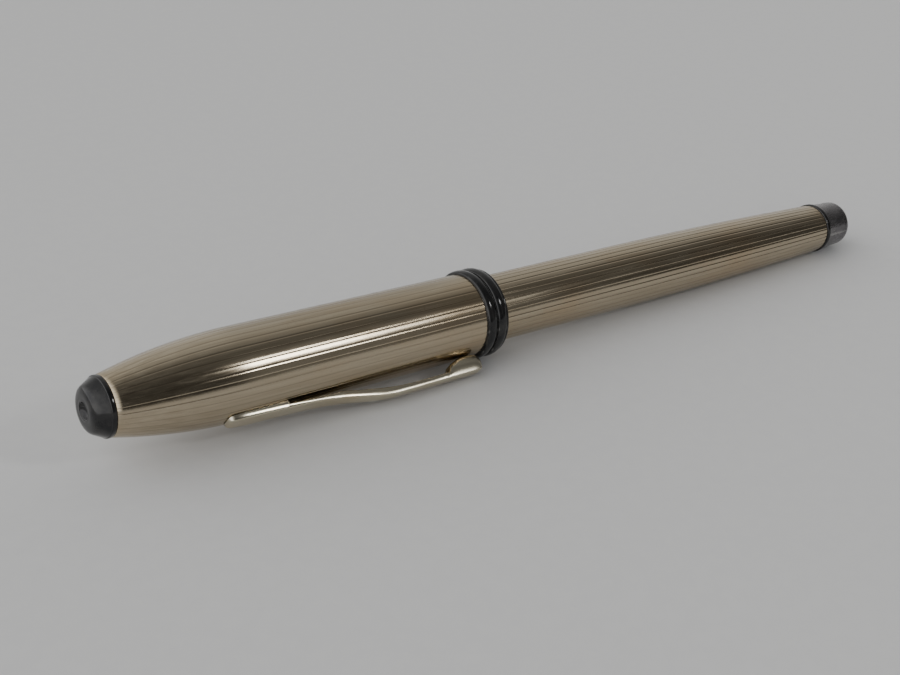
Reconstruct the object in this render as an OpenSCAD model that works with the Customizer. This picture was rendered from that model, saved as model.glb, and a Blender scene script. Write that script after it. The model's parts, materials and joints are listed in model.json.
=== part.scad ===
// A capped fountain pen lying on its side: fluted metal cap and barrel with dark trims,
// a black grip section that carries the nib and feed, and a twist converter inside the barrel.
// +X runs along the pen's axis from the cap's end to the tail, and +Z is up. The origin is on the
// surface that the pen lies on, under the middle of its box. Stations along the pen are measured
// from the cap's end, and are named something_x.

/* [Whole pen] */
// Length from the cap's end to the tail, capped
pen_len = 149.5; // [148.5:0.5:152]
// Thickness of the cap's and the barrel's metal wall
wall = 0.42; // [0.38:0.01:0.44]

/* [Cap] */
// Length of the dark finial at the cap's end
finial_len = 2.1; // [2:0.05:2.3]
// Length of the black ring behind the finial
finial_ring_len = 0.75; // [0.6:0.05:0.9]
// Radius of the black ring behind the finial
finial_ring_r = 4.27; // [4.27:0.01:4.4]
// Length of the fluted cap shell
cap_shell_len = 58.7; // [58.5:0.1:59.1]
// Radius of the cap shell at its small end
cap_tip_r = 4.24; // [4.2:0.01:4.26]
// Largest radius of the cap shell
cap_r = 6.55; // [6.5:0.01:6.6]
// Radius of the cap shell where it meets the bands
cap_mouth_r = 6.38; // [6.36:0.01:6.45]
// Distance from the small end to the widest place
cap_nose_len = 19.2; // [18:0.1:21]
// Length of the two dark bands and the lip together
band_len = 3.95; // [3.8:0.05:4.2]
// Radius over the dark bands
band_r = 6.9; // [6.85:0.01:7]

/* [Clip] */
// Angle of the clip round the pen, from straight down towards the front
clip_angle = 51.3; // [51.3:0.1:60]
// Greatest height of the clip above the pen's axis
clip_h = 9.42; // [9.3:0.01:9.6]
// Height of the clip's end above the pen's axis
clip_end_h = 9.3; // [9.2:0.01:9.33]
// Width of the clip at its root
clip_root_w = 3.5; // [3.3:0.1:4]
// Width of the clip at its end
clip_end_w = 2.3; // [2.1:0.1:2.3]

/* [Barrel] */
// Radius of the barrel's straight stretch
barrel_r = 5.18; // [5.16:0.01:5.22]
// Radius of the barrel where it meets the tail ring
barrel_tail_r = 4.2; // [4.1:0.01:4.3]
// Length of the dark tail cap
tail_cap_len = 6.15; // [6:0.05:6.4]
// Radius of the tail cap at its foot
tail_cap_r = 4.12; // [4:0.01:4.2]
// Length of the black tail ring
tail_ring_len = 0.87; // [0.7:0.01:0.9]
// Radius of the black tail ring
tail_ring_r = 4.4; // [4.35:0.01:4.5]

/* [Grip section and nib] */
// Radius of the grip where it is widest
grip_r = 5; // [4.9:0.01:5.02]
// Radius of the grip at its waist
grip_waist_r = 4.2; // [4.1:0.05:4.4]
// Length of nib that shows ahead of the grip
nib_len = 22.4; // [21:0.1:23]
// Thickness of the nib's sheet
nib_t = 0.28; // [0.24:0.01:0.3]

/* [Converter] */
// Outer radius of the ink chamber
chamber_r = 3.2; // [3.15:0.01:3.25]
// Travel of the piston
piston_travel = 20; // [18:0.5:20]
// Radius of the piston rod
rod_r = 0.9; // [0.8:0.05:0.9]

/* [Hidden] */

// Finishes
champagne = [0.62, 0.55, 0.44];
pale_gold = [0.78, 0.72, 0.58];
gunmetal = [0.13, 0.13, 0.14];
tail_grey = [0.27, 0.26, 0.28];
black_plastic = [0.06, 0.06, 0.065];
plain_brass = [0.72, 0.6, 0.35];
bright_steel = [0.75, 0.75, 0.76];
nib_gold = [0.86, 0.7, 0.36];
clear_plastic = [0.8, 0.85, 0.88, 0.35];

// Gaps between pieces
fit_gap = 0.03;     // pieces that are glued or pressed together
run_gap = 0.05;     // pieces that turn or slide on each other
free_gap = 0.3;     // pieces that only pass each other
lap = 1;            // how far a cutting solid runs past what it cuts

// Stations of the cap
shell_x = finial_len + finial_ring_len;
crown_x = shell_x + cap_nose_len;
band_x = shell_x + cap_shell_len;
mouth_x = band_x + band_len;

// Stations of the section: the seat is the face that the barrel closes against
seat_x = mouth_x - 2.9;
grip_front_x = seat_x - 19.6;
nib_tip_x = grip_front_x - nib_len;
clutch_x = seat_x - 4.7;
clutch_len = 2.2;
ring_x = clutch_x + clutch_len;

// Stations of the barrel
washer_len = 0.5;
barrel_x = seat_x + washer_len + 2 * run_gap;
tail_cap_x = pen_len - tail_cap_len;
tail_ring_x = tail_cap_x - tail_ring_len;
straight_end_x = barrel_x + 28.8;
tail_bush_len = 4;

// The pen lies on its bands, with the clip's edge just clear of the surface
clip_root_half = clip_root_w / 2;
clip_end_half = clip_end_w / 2;
clip_waist_half = 1.05;
clip_reach = clip_h * sin(clip_angle) + clip_waist_half * cos(clip_angle);
axis_y = (clip_reach - band_r) / 2;
axis_z = band_r;

// Radii inside the cap and the barrel
liner_r = 5.65;
liner_in_r = 4.9;
liner_t = 0.8;
mouth_in_r = 5.36;
tenon_r = 3.9;
tenon_in_r = 3.5;
neck_r = 4.2;
thread_r = 4.34;
bush_in_r = 4.4;
thread_pitch = 0.75;
collar_in_r = 3.05;
feed_r = 2.7;
nipple_r = 1.9;
chamber_in_r = 2.6;

// Radius of a long arc that drops by rise over the length run, level at one end
function arc_r(run, rise) = (run * run + rise * rise) / (2 * rise);
function arc_drop(d, run, rise) = arc_r(run, rise) - sqrt(pow(arc_r(run, rise), 2) - d * d);

// Outer radius of the cap: an arc for the nose, then a slight straight taper to the bands
function cap_outer(x) =
    x < crown_x
        ? cap_r - arc_drop(crown_x - x, cap_nose_len, cap_r - cap_tip_r)
        : cap_r - (x - crown_x) * (cap_r - cap_mouth_r) / (band_x - crown_x);

// Outer radius of the barrel: straight, then a long arc to the tail
function barrel_outer(x) =
    x < straight_end_x
        ? barrel_r
        : barrel_r - arc_drop(x - straight_end_x, tail_ring_x - straight_end_x, barrel_r - barrel_tail_r);

// n + 1 evenly spaced values from a to b
function steps(a, b, n) = [for (i = [0:n]) a + (b - a) * i / n];

// Points over a rounded bead from station x, of the given length, between two radii
function bead(x, len, edge_r, top_r) =
    [for (a = [0:15:180]) [x + len * (1 - cos(a)) / 2, edge_r + (top_r - edge_r) * sin(a)]];

// Points of a thread's ridges, drawn as rings: low and high are the radii between and on them
function ridges(x, count, pitch, low, high) =
    [for (i = [0:count - 1], p = [[0, low], [0.3, high], [0.5, high], [0.8, low]])
        [x + (i + p[0]) * pitch, p[1]]];

// A whole outline from the points along one side of the pen's axis
function both_sides(plan) =
    concat(plan, [for (i = [len(plan) - 1:-1:0]) [plan[i][0], -plan[i][1]]]);

// Turns a profile of [station, radius] points about the pen's axis
module turned(profile) {
    translate([-pen_len / 2, axis_y, axis_z])
        rotate([0, 90, 0])
            rotate_extrude($fn = 96)
                polygon([for (p = profile) [p[1], p[0]]]);
}

// Plain ring between two stations
module ring(x0, x1, inner_r, outer_r) {
    turned([[x0, inner_r], [x0, outer_r], [x1, outer_r], [x1, inner_r]]);
}

// Places a shape by stations along X and heights above the pen's axis, with its top up
module on_axis() {
    translate([-pen_len / 2, axis_y, axis_z])
        children();
}

// The same, turned so that up is outwards through the clip
module on_clip() {
    on_axis()
        rotate([180 - clip_angle, 0, 0])
            children();
}

// Box by its low and high corners
module box(low, high) {
    translate(low)
        cube(high - low);
}

// ---- Cap ----

clip_root_x = shell_x + 15.15;
clip_plate_end_x = clip_root_x + 9.05;
clip_end_x = band_x - 1.15;
tang_x = clip_root_x + 4.6;
tang_len = 2.6;
tang_half = 0.8;
slot_gap = 0.35;

// Cuts the opening that the clip's tang passes through
module clip_slot() {
    on_clip()
        box([tang_x - slot_gap, -tang_half - 0.2, liner_r - 0.1],
            [tang_x + tang_len + 2 * slot_gap, tang_half + 0.2, cap_r + lap]);
}

stud_r = 1.5;
front_wall = 1.2;

// Fluted metal shell of the cap, closed at its small end round the finial's stud
module cap_shell() {
    inside_x = shell_x + front_wall;
    outside = [for (x = steps(shell_x, crown_x, 16)) [x, cap_outer(x)]];
    inside = [for (x = steps(crown_x, inside_x, 16)) [x, cap_outer(x) - wall]];
    color(champagne)
        difference() {
            turned(concat(
                [[shell_x, stud_r + fit_gap]],
                outside,
                [[band_x, cap_mouth_r], [band_x, cap_mouth_r - wall]],
                inside,
                [[inside_x, stud_r + fit_gap]]
            ));
            clip_slot();
        }
}

// Dark finial with a dished end, and the stud that goes through the cap's small end
module cap_finial() {
    stud_end_x = shell_x + front_wall + 1.4;
    screw_hole_x = finial_len + 0.6;
    screw_hole_r = 0.75;
    color(gunmetal)
        turned([
            [0.6, 0], [0.55, 0.9], [0.1, 1.15], [0, 1.4], [0.02, 2.2], [0.1, 2.8], [0.3, 3.25],
            [0.6, 3.55], [1, 3.75], [finial_len, 4.15], [finial_len, stud_r], [stud_end_x, stud_r],
            [stud_end_x, screw_hole_r], [screw_hole_x, screw_hole_r], [screw_hole_x, 0]
        ]);
}

// Black ring between the finial and the cap shell
module finial_ring() {
    rim = 0.12;
    color(gunmetal)
        turned([
            [finial_len, stud_r + fit_gap], [finial_len, finial_ring_r - rim],
            [finial_len + rim, finial_ring_r], [shell_x - rim, finial_ring_r],
            [shell_x, finial_ring_r - rim], [shell_x, stud_r + fit_gap]
        ]);
}

// Hexagonal nut that clamps the finial from inside the cap
module finial_nut() {
    nut_x = shell_x + front_wall;
    nut_len = 1.2;
    color(plain_brass)
        on_axis()
            translate([nut_x, 0, 0])
                rotate([0, 90, 0])
                    difference() {
                        cylinder(r = 2.8, h = nut_len, $fn = 6);
                        translate([0, 0, -lap])
                            cylinder(r = stud_r + fit_gap, h = nut_len + 2 * lap, $fn = 48);
                    }
}

liner_x = shell_x + 3.4;
liner_wall = 1;
liner_seat_x = grip_front_x - 0.1;
liner_end_x = grip_front_x + 4;

// Slotted screw that holds the inner cap to the finial's stud
module finial_screw() {
    head_x = liner_x + liner_wall;
    head_len = 1;
    shank_r = 0.7;
    head_r = 1.6;
    slot_half = 0.2;
    color(bright_steel)
        difference() {
            turned([
                [finial_len + 0.8, 0], [finial_len + 0.8, shank_r], [head_x, shank_r],
                [head_x, head_r], [head_x + head_len, head_r], [head_x + head_len, 0]
            ]);
            on_axis()
                box([head_x + head_len / 2, -head_r - lap, -slot_half],
                    [head_x + head_len + lap, head_r + lap, slot_half]);
        }
}

// Outer and inner radius of the plastic inner cap, which follows the shell and then runs straight
function liner_outer(x) = min(liner_r, cap_outer(x) - wall - run_gap);
function liner_inner(x) = min(liner_in_r, liner_outer(x) - liner_t);

// Plastic inner cap: the nib's chamber, with a ledge that seals on the front of the grip
module inner_cap() {
    screw_r = 0.75;
    ledge_r = 3.9;
    ledge_len = 1.5;
    floor_x = liner_x + liner_wall;
    nose = steps(liner_x, liner_x + 9, 9);
    hollow = steps(liner_x + 9, floor_x, 8);
    ledge_x = liner_seat_x - ledge_len;
    color(black_plastic)
        turned(concat(
            [[liner_x, screw_r]],
            [for (x = nose) [x, liner_outer(x)]],
            [[liner_end_x, liner_r], [liner_end_x, liner_r - 0.35]],
            [[liner_seat_x, liner_r - 0.35], [liner_seat_x, ledge_r]],
            [[ledge_x, ledge_r], [ledge_x - 0.8, liner_in_r]],
            [for (x = hollow) [x, liner_inner(x)]],
            [[floor_x, screw_r]]
        ));
}

// Side view of the clip: [station, height above the axis], along the outside and back along the inside
function clip_side() = [
    [clip_root_x, cap_r - 0.4],
    [clip_root_x + 0.1, 6.9],
    [clip_root_x + 0.7, 7.15],
    [clip_root_x + 8.95, 7.42],
    [clip_root_x + 13.95, 7.64],
    [clip_root_x + 17.95, 8.08],
    [clip_root_x + 21.65, 8.75],
    [clip_root_x + 24.45, 9.22],
    [clip_root_x + 26.85, clip_h],
    [clip_root_x + 30.05, clip_h - 0.02],
    [clip_root_x + 34.05, 9.38],
    [clip_end_x - 4, clip_end_h + 0.04],
    [clip_end_x - 0.5, clip_end_h],
    [clip_end_x, clip_end_h - 0.4],
    [clip_end_x, 7.3],
    [clip_end_x - 0.5, 6.75],
    [clip_end_x - 1.4, 6.5],
    [clip_end_x - 3, 6.52],
    [clip_end_x - 4.6, 6.95],
    [clip_end_x - 5.6, 7.45],
    [clip_end_x - 6.1, 8.3],
    [clip_end_x - 8, 8.4],
    [clip_root_x + 30.65, 8.4],
    [clip_root_x + 27.45, 8.3],
    [clip_root_x + 24.65, 8],
    [clip_root_x + 21.65, 7.6],
    [clip_root_x + 17.95, 7],
    [clip_plate_end_x + 0.3, 6.78],
    [clip_plate_end_x, cap_r - 0.4]
];

// Plan view of the clip: half its width along its length
function clip_plan() = [
    [clip_root_x, 1],
    [clip_root_x + 0.35, 1.55],
    [clip_root_x + 1.2, clip_root_half - 0.2],
    [clip_root_x + 2.4, clip_root_half],
    [clip_plate_end_x, clip_root_half - 0.05],
    [clip_root_x + 15.95, clip_root_half - 0.3],
    [clip_root_x + 21.95, 1.25],
    [clip_root_x + 26.85, clip_waist_half],
    [clip_root_x + 33.95, clip_waist_half],
    [clip_end_x - 3.5, clip_end_half],
    [clip_end_x - 0.4, clip_end_half],
    [clip_end_x, clip_end_half - 0.3]
];

// Sprung clip: a root that hugs the cap, an arm that stands off it, and a pad that bears on it
module clip() {
    color(pale_gold) {
        difference() {
            on_clip()
                intersection() {
                    rotate([90, 0, 0])
                        linear_extrude(height = 3 * clip_root_w, center = true)
                            polygon(clip_side());
                    linear_extrude(height = 2 * clip_h)
                        polygon(both_sides(clip_plan()));
                }
            ring(clip_root_x - lap, clip_plate_end_x + lap, 0, cap_r + run_gap);
            ring(clip_end_x - 8, clip_end_x + lap, 0, cap_mouth_r + 2 * run_gap);
        }
        on_clip()
            box([tang_x, -tang_half, liner_r + 0.12],
                [tang_x + tang_len, tang_half, 7]);
    }
}

// Curved plate inside the shell, round the clip's tang
module clip_retainer() {
    color(bright_steel)
        difference() {
            intersection() {
                ring(clip_root_x + 1.8, clip_plate_end_x + 0.6, liner_r + fit_gap, cap_r - wall - 2 * fit_gap);
                on_clip()
                    box([0, -2.4, 0], [pen_len, 2.4, 2 * cap_r]);
            }
            clip_slot();
        }
}

sleeve_x = band_x - 9.5;
lip_len = 0.4;
seat_r = 6.3;

// Metal sleeve glued into the cap's open end, which carries the bands and ends in a thin lip
module mouth_sleeve() {
    lip_r = 6.6;
    lip_x = mouth_x - lip_len;
    glued_r = cap_outer(band_x) - wall - fit_gap;
    color(gunmetal)
        turned([
            [sleeve_x, mouth_in_r], [sleeve_x, glued_r], [band_x, glued_r], [band_x, seat_r],
            [lip_x, seat_r], [lip_x, lip_r], [mouth_x - 0.12, lip_r], [mouth_x, lip_r - 0.15],
            [mouth_x, mouth_in_r + 0.15], [mouth_x - 0.15, mouth_in_r]
        ]);
}

bead_gap = 0.2;
bead_len = (band_len - lip_len - bead_gap) / 2;
bead_edge_r = 6.48;

// One rounded dark band round the mouth sleeve
module band(x) {
    color(gunmetal)
        turned(concat(
            [[x, seat_r + fit_gap]],
            bead(x, bead_len, bead_edge_r, band_r),
            [[x + bead_len, seat_r + fit_gap]]
        ));
}

module front_band() {
    band(band_x);
}

module rear_band() {
    band(band_x + bead_len + bead_gap);
}

// Split spring ring in the section's groove: it grips the cap and turns with it
module clutch_ring() {
    groove_r = 4.5;
    inner_r = groove_r + run_gap;
    outer_r = mouth_in_r - 0.14;
    x0 = clutch_x + 0.1;
    x1 = ring_x - 0.1;
    split_half = 0.4;
    color(bright_steel)
        difference() {
            turned(concat([[x0, inner_r]], bead(x0, x1 - x0, outer_r - 0.3, outer_r), [[x1, inner_r]]));
            on_axis()
                box([x0 - lap, -split_half, 0], [x1 + lap, split_half, 2 * outer_r]);
        }
}

// ---- Grip section, nib and feed ----

// Black grip: flared lip, waist, swelling to the clutch groove, and a tenon for the metal parts
module section_grip() {
    front = grip_front_x;
    lip_r = grip_waist_r + 0.25;
    collar_bore_r = collar_in_r + 0.3 + fit_gap;
    bore_end_x = seat_x - 2.6;
    tenon_end_x = seat_x + 4.4;
    color(black_plastic)
        turned([
            [front, collar_bore_r], [front, lip_r - 0.25], [front + 0.25, lip_r],
            [front + 0.9, lip_r], [front + 1.8, grip_waist_r + 0.03], [front + 3, grip_waist_r],
            [front + 5, grip_waist_r + 0.1], [front + 8, grip_waist_r + 0.36],
            [front + 11, grip_waist_r + 0.64], [front + 13.5, grip_r - 0.04],
            [clutch_x - 0.2, grip_r], [clutch_x, grip_r - 0.2], [clutch_x, 4.5], [ring_x, 4.5],
            [ring_x, tenon_r], [tenon_end_x, tenon_r], [tenon_end_x, tenon_in_r],
            [bore_end_x, tenon_in_r], [bore_end_x, collar_bore_r]
        ]);
}

// Metal ring between the grip and the barrel
module section_ring() {
    color(gunmetal)
        ring(ring_x, seat_x, tenon_r + fit_gap, grip_r + 0.05);
}

// Threaded metal sleeve on the grip's tenon, which the barrel screws on to
module barrel_coupler() {
    end_x = seat_x + 8.4;
    thread_x = seat_x + 2.6;
    color(plain_brass)
        turned(concat(
            [[seat_x, tenon_r + fit_gap], [seat_x, neck_r]],
            ridges(thread_x, 6, thread_pitch, neck_r, thread_r),
            [[end_x - 0.3, neck_r], [end_x, neck_r - 0.2], [end_x, tenon_r + fit_gap]]
        ));
}

collar_end_x = seat_x - 5.6;

// Tube in the front of the grip that holds the nib and the feed together
module nib_collar() {
    color(black_plastic)
        ring(grip_front_x + 0.1, collar_end_x, collar_in_r, collar_in_r + 0.3);
}

nib_out_r = collar_in_r - fit_gap;
nib_shoulder_x = nib_tip_x + 14.5;
vent_x = nib_tip_x + 11.2;

// Half the nib's outline, seen from above
function nib_plan() = [
    [nib_tip_x, 0.28],
    [nib_tip_x + 3, 0.75],
    [nib_tip_x + 7, 1.5],
    [nib_tip_x + 11, 2.35],
    [nib_shoulder_x - 1, 2.75],
    [nib_shoulder_x, 2.86],
    [nib_shoulder_x + 2, 2.8],
    [nib_tip_x + 20, 2.5],
    [nib_tip_x + 24, 2.3],
    [collar_end_x - 2, 2.2]
];

// Curved metal nib with its slit and its breather hole
module nib() {
    slit_half = 0.05;
    color(nib_gold)
        difference() {
            intersection() {
                ring(nib_tip_x, collar_end_x, nib_out_r - nib_t, nib_out_r);
                on_axis()
                    linear_extrude(height = 2 * nib_out_r)
                        polygon(both_sides(nib_plan()));
            }
            on_axis()
                box([nib_tip_x - lap, -slit_half, 0], [vent_x, slit_half, 2 * nib_out_r]);
            on_axis()
                translate([vent_x, 0, 0])
                    cylinder(r = 0.55, h = 2 * nib_out_r, $fn = 32);
        }
}

// Hard rounded writing point at the nib's end
module nib_point() {
    point_r = 0.42;
    color(bright_steel)
        on_axis()
            intersection() {
                translate([nib_tip_x, 0, nib_out_r - nib_t / 2 - 0.1])
                    sphere(r = point_r, $fn = 32);
                box([nib_tip_x - 1, -1, 0], [nib_tip_x, 1, 2 * nib_out_r]);
            }
}

// Black feed under the nib: tapered nose, fins underneath and the ink channel on top
module feed() {
    nose_x = nib_tip_x + 4.5;
    fin_x = nib_tip_x + 12;
    fin_pitch = 1.1;
    fin_gap = 0.45;
    fin_core_r = 1.7;
    channel_half = 0.15;
    channel_depth = 0.8;
    color(black_plastic)
        difference() {
            intersection() {
                ring(nose_x, collar_end_x, 0, feed_r);
                on_axis()
                    rotate([90, 0, 0])
                        linear_extrude(height = 4 * feed_r, center = true)
                            polygon([
                                [nose_x, feed_r + lap], [collar_end_x, feed_r + lap],
                                [collar_end_x, -feed_r - lap], [fin_x + 6, -feed_r - lap],
                                [fin_x + 1, -1.6], [fin_x - 1, -0.6], [nose_x + 2, 1.4],
                                [nose_x, 2.2]
                            ]);
            }
            for (i = [0:6])
                difference() {
                    ring(fin_x + i * fin_pitch, fin_x + i * fin_pitch + fin_gap, fin_core_r, feed_r + lap);
                    on_axis()
                        box([nose_x, -feed_r - lap, 0.6], [collar_end_x, feed_r + lap, feed_r + lap]);
                }
            on_axis()
                box([nose_x - lap, -channel_half, feed_r - channel_depth],
                    [collar_end_x + lap, channel_half, feed_r + lap]);
        }
}

// Tube behind the feed that the converter pushes on to
module ink_nipple() {
    flange_x = seat_x - 2.6;
    end_x = seat_x + 3.9;
    color(black_plastic)
        turned([
            [collar_end_x, 0.6], [collar_end_x, collar_in_r + 0.3], [flange_x, collar_in_r + 0.3],
            [flange_x, nipple_r], [end_x - 0.5, nipple_r], [end_x, nipple_r - 0.3], [end_x, 0.6]
        ]);
}

// ---- Barrel ----

// Washer between the section's ring and the barrel, which turns with the barrel
module shoulder_washer() {
    color(black_plastic)
        ring(seat_x + run_gap, seat_x + run_gap + washer_len, neck_r + run_gap, grip_r);
}

// Fluted metal shell of the barrel, open at both ends
module barrel_shell() {
    curve = steps(straight_end_x, tail_ring_x, 16);
    back = steps(tail_ring_x, straight_end_x, 16);
    color(champagne)
        turned(concat(
            [[barrel_x, barrel_r - wall], [barrel_x, barrel_r]],
            [for (x = curve) [x, barrel_outer(x)]],
            [for (x = back) [x, barrel_outer(x) - wall]]
        ));
}

// Threaded brass bush in the barrel's open end
module barrel_bush() {
    end_x = barrel_x + 7.4;
    crests = ridges(seat_x + 2.6, 6, thread_pitch, bush_in_r + 0.12, bush_in_r);
    last = len(crests) - 1;
    outer_r = barrel_r - wall - fit_gap;
    color(plain_brass)
        turned(concat(
            [[barrel_x, bush_in_r], [barrel_x, outer_r], [end_x, outer_r], [end_x, bush_in_r + 0.12]],
            [for (i = [0:last]) crests[last - i]],
            [[barrel_x + 1, bush_in_r]]
        ));
}

tail_screw_r = 1.2;

// Plug glued inside the barrel's tail, which takes the tail screw
module tail_bush() {
    start_x = tail_ring_x - tail_bush_len;
    color(plain_brass)
        turned([
            [start_x, tail_screw_r + fit_gap], [start_x, barrel_outer(tail_ring_x) - wall - fit_gap],
            [tail_ring_x, barrel_outer(tail_ring_x) - wall - fit_gap],
            [tail_ring_x, tail_screw_r + fit_gap]
        ]);
}

// Black ring between the barrel and the tail cap
module tail_ring() {
    rim = 0.14;
    color(gunmetal)
        turned([
            [tail_ring_x, tail_screw_r + fit_gap], [tail_ring_x, tail_ring_r - rim],
            [tail_ring_x + rim, tail_ring_r], [tail_cap_x - rim, tail_ring_r],
            [tail_cap_x, tail_ring_r - rim], [tail_cap_x, tail_screw_r + fit_gap]
        ]);
}

// Dark tail cap with a rounded edge and a flat end
module tail_cap() {
    hole_end_x = tail_cap_x + 4.1;
    edge_r = 1.25;
    shoulder_r = tail_cap_r - 0.22;
    corner = [for (a = [0:15:90])
        [pen_len - edge_r + edge_r * sin(a), shoulder_r - edge_r + edge_r * cos(a)]];
    color(tail_grey)
        turned(concat(
            [[tail_cap_x, tail_screw_r + fit_gap], [tail_cap_x, tail_cap_r]],
            corner,
            [[pen_len, 0], [hole_end_x, 0], [hole_end_x, tail_screw_r + fit_gap]]
        ));
}

// Slotted set screw that holds the tail cap and ring to the plug
module tail_screw() {
    start_x = tail_ring_x - tail_bush_len + 0.4;
    slot_half = 0.18;
    color(bright_steel)
        difference() {
            ring(start_x, tail_cap_x + 3.9, 0, tail_screw_r);
            on_axis()
                box([start_x - lap, -2 * tail_screw_r, -slot_half],
                    [start_x + 0.8, 2 * tail_screw_r, slot_half]);
        }
}

// ---- Converter ----

conv_x = seat_x - 2.3;
mouth_end_x = conv_x + 6.7;
chamber_x = conv_x + 8.7;
chamber_end_x = conv_x + 40.7;
seal_x = conv_x + 3.6;
seal_len = 0.8;
seal_r = 2.4;

// Clear ink chamber with the narrow mouth that fits on the nipple
module converter_sleeve() {
    orifice_r = 0.9;
    bore_r = nipple_r + run_gap;
    color(clear_plastic)
        turned([
            [conv_x, bore_r], [conv_x, 2.6], [conv_x + 0.6, 3], [conv_x + 7.2, 3],
            [conv_x + 8.2, chamber_r], [chamber_end_x, chamber_r], [chamber_end_x, chamber_in_r],
            [chamber_x, chamber_in_r], [chamber_x - 1, orifice_r], [mouth_end_x, orifice_r],
            [mouth_end_x, bore_r], [seal_x + seal_len + fit_gap, bore_r],
            [seal_x + seal_len + fit_gap, seal_r + fit_gap], [seal_x - fit_gap, seal_r + fit_gap],
            [seal_x - fit_gap, bore_r]
        ]);
}

// Rubber ring in the converter's mouth
module converter_seal() {
    color(black_plastic)
        ring(seal_x, seal_x + seal_len, nipple_r + 0.02, seal_r);
}

collar_x = chamber_end_x - 6;
nut_len = 1.2;
flange_x = chamber_end_x + nut_len + 0.1;
flange_len = 0.6;
neck_x = flange_x + flange_len;
collar_lip_x = neck_x + 0.1;
knob_x = collar_lip_x + 0.8;
rest_rod_end_x = knob_x + 4.7;
knob_end_x = rest_rod_end_x + piston_travel + 1.5;
knob_neck_r = 2.1;

// Metal collar that joins the chamber to the knob
module converter_collar() {
    inner_r = chamber_r + fit_gap;
    outer_r = chamber_r + 0.25;
    color(bright_steel)
        turned([
            [collar_x, inner_r], [collar_x, outer_r - 0.08], [collar_x + 0.1, outer_r],
            [collar_lip_x + 0.5, outer_r], [collar_lip_x + 0.6, outer_r - 0.1],
            [collar_lip_x + 0.6, knob_neck_r + 0.08], [collar_lip_x, knob_neck_r + 0.08],
            [collar_lip_x, inner_r]
        ]);
}

// Fixed nut that keeps the piston rod from turning
module rod_nut() {
    color(black_plastic)
        ring(chamber_end_x, chamber_end_x + nut_len, rod_r + run_gap, chamber_r);
}

// Hollow knob at the end of the converter: turning it draws the rod in or drives it out
module converter_knob() {
    bore_r = rod_r + free_gap;
    knob_r = 3;
    groove_x = knob_x + 3;
    color(black_plastic)
        turned(concat(
            [[flange_x, bore_r], [flange_x, 2.9], [neck_x, 2.9], [neck_x, knob_neck_r],
             [knob_x, knob_neck_r], [knob_x, knob_r - 0.15], [knob_x + 0.15, knob_r]],
            ridges(groove_x, 5, 1.6, knob_r, knob_r - 0.25),
            [[knob_end_x - 0.6, knob_r], [knob_end_x, knob_r - 0.6], [knob_end_x, 0],
             [knob_end_x - 1.2, 0], [knob_end_x - 1.2, bore_r]]
        ));
}

piston_x = chamber_x + 0.6;
piston_len = 5;
piston_seal_len = 1;

// Stations of the two seals on the piston
function piston_seal_x() = [piston_x + 0.8, piston_x + 3.2];

// Piston that draws the ink, with two grooves for its seals
module piston() {
    body_r = chamber_in_r - 0.25;
    groove_r = 2;
    grooves = [for (x = piston_seal_x(), p = [[0, body_r], [0, groove_r],
        [piston_seal_len, groove_r], [piston_seal_len, body_r]]) [x + p[0], p[1]]];
    color(black_plastic)
        turned(concat(
            [[piston_x, 0], [piston_x, body_r - 0.5], [piston_x + 0.4, body_r]],
            grooves,
            [[piston_x + piston_len, body_r], [piston_x + piston_len, 0]]
        ));
}

// The piston's two rubber seals
module piston_seals() {
    inner_r = 2 + fit_gap;
    outer_r = chamber_in_r - run_gap;
    color(gunmetal)
        for (x = piston_seal_x())
            turned(concat(
                [[x + fit_gap, inner_r]],
                bead(x + fit_gap, piston_seal_len - 2 * fit_gap, outer_r - 0.2, outer_r),
                [[x + piston_seal_len - fit_gap, inner_r]]
            ));
}

// Ridged rod from the piston into the knob
module piston_rod() {
    start_x = piston_x + piston_len;
    ridge_pitch = 1;
    count = floor((rest_rod_end_x - start_x - 1) / ridge_pitch);
    color(bright_steel)
        turned(concat(
            [[start_x, 0], [start_x, rod_r - 0.15]],
            ridges(start_x + 0.3, count, ridge_pitch, rod_r - 0.15, rod_r),
            [[rest_rod_end_x, rod_r - 0.15], [rest_rod_end_x, 0]]
        ));
}

cap_shell();
cap_finial();
finial_ring();
finial_nut();
finial_screw();
inner_cap();
clip();
clip_retainer();
mouth_sleeve();
front_band();
rear_band();
clutch_ring();
section_grip();
section_ring();
barrel_coupler();
nib_collar();
nib();
nib_point();
feed();
ink_nipple();
shoulder_washer();
barrel_shell();
barrel_bush();
tail_bush();
tail_ring();
tail_cap();
tail_screw();
converter_sleeve();
converter_seal();
converter_collar();
rod_nut();
converter_knob();
piston();
piston_seals();
piston_rod();
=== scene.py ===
"""Looks of the fountain pen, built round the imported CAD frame: fluted metal shells, rounded dark bands,
a sprung clip, and finishes for the nib, the feed and the converter that show once the pen is opened."""

import json
import math

import bmesh
import bpy
import numpy as np
from mathutils import Matrix, Vector

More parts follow.
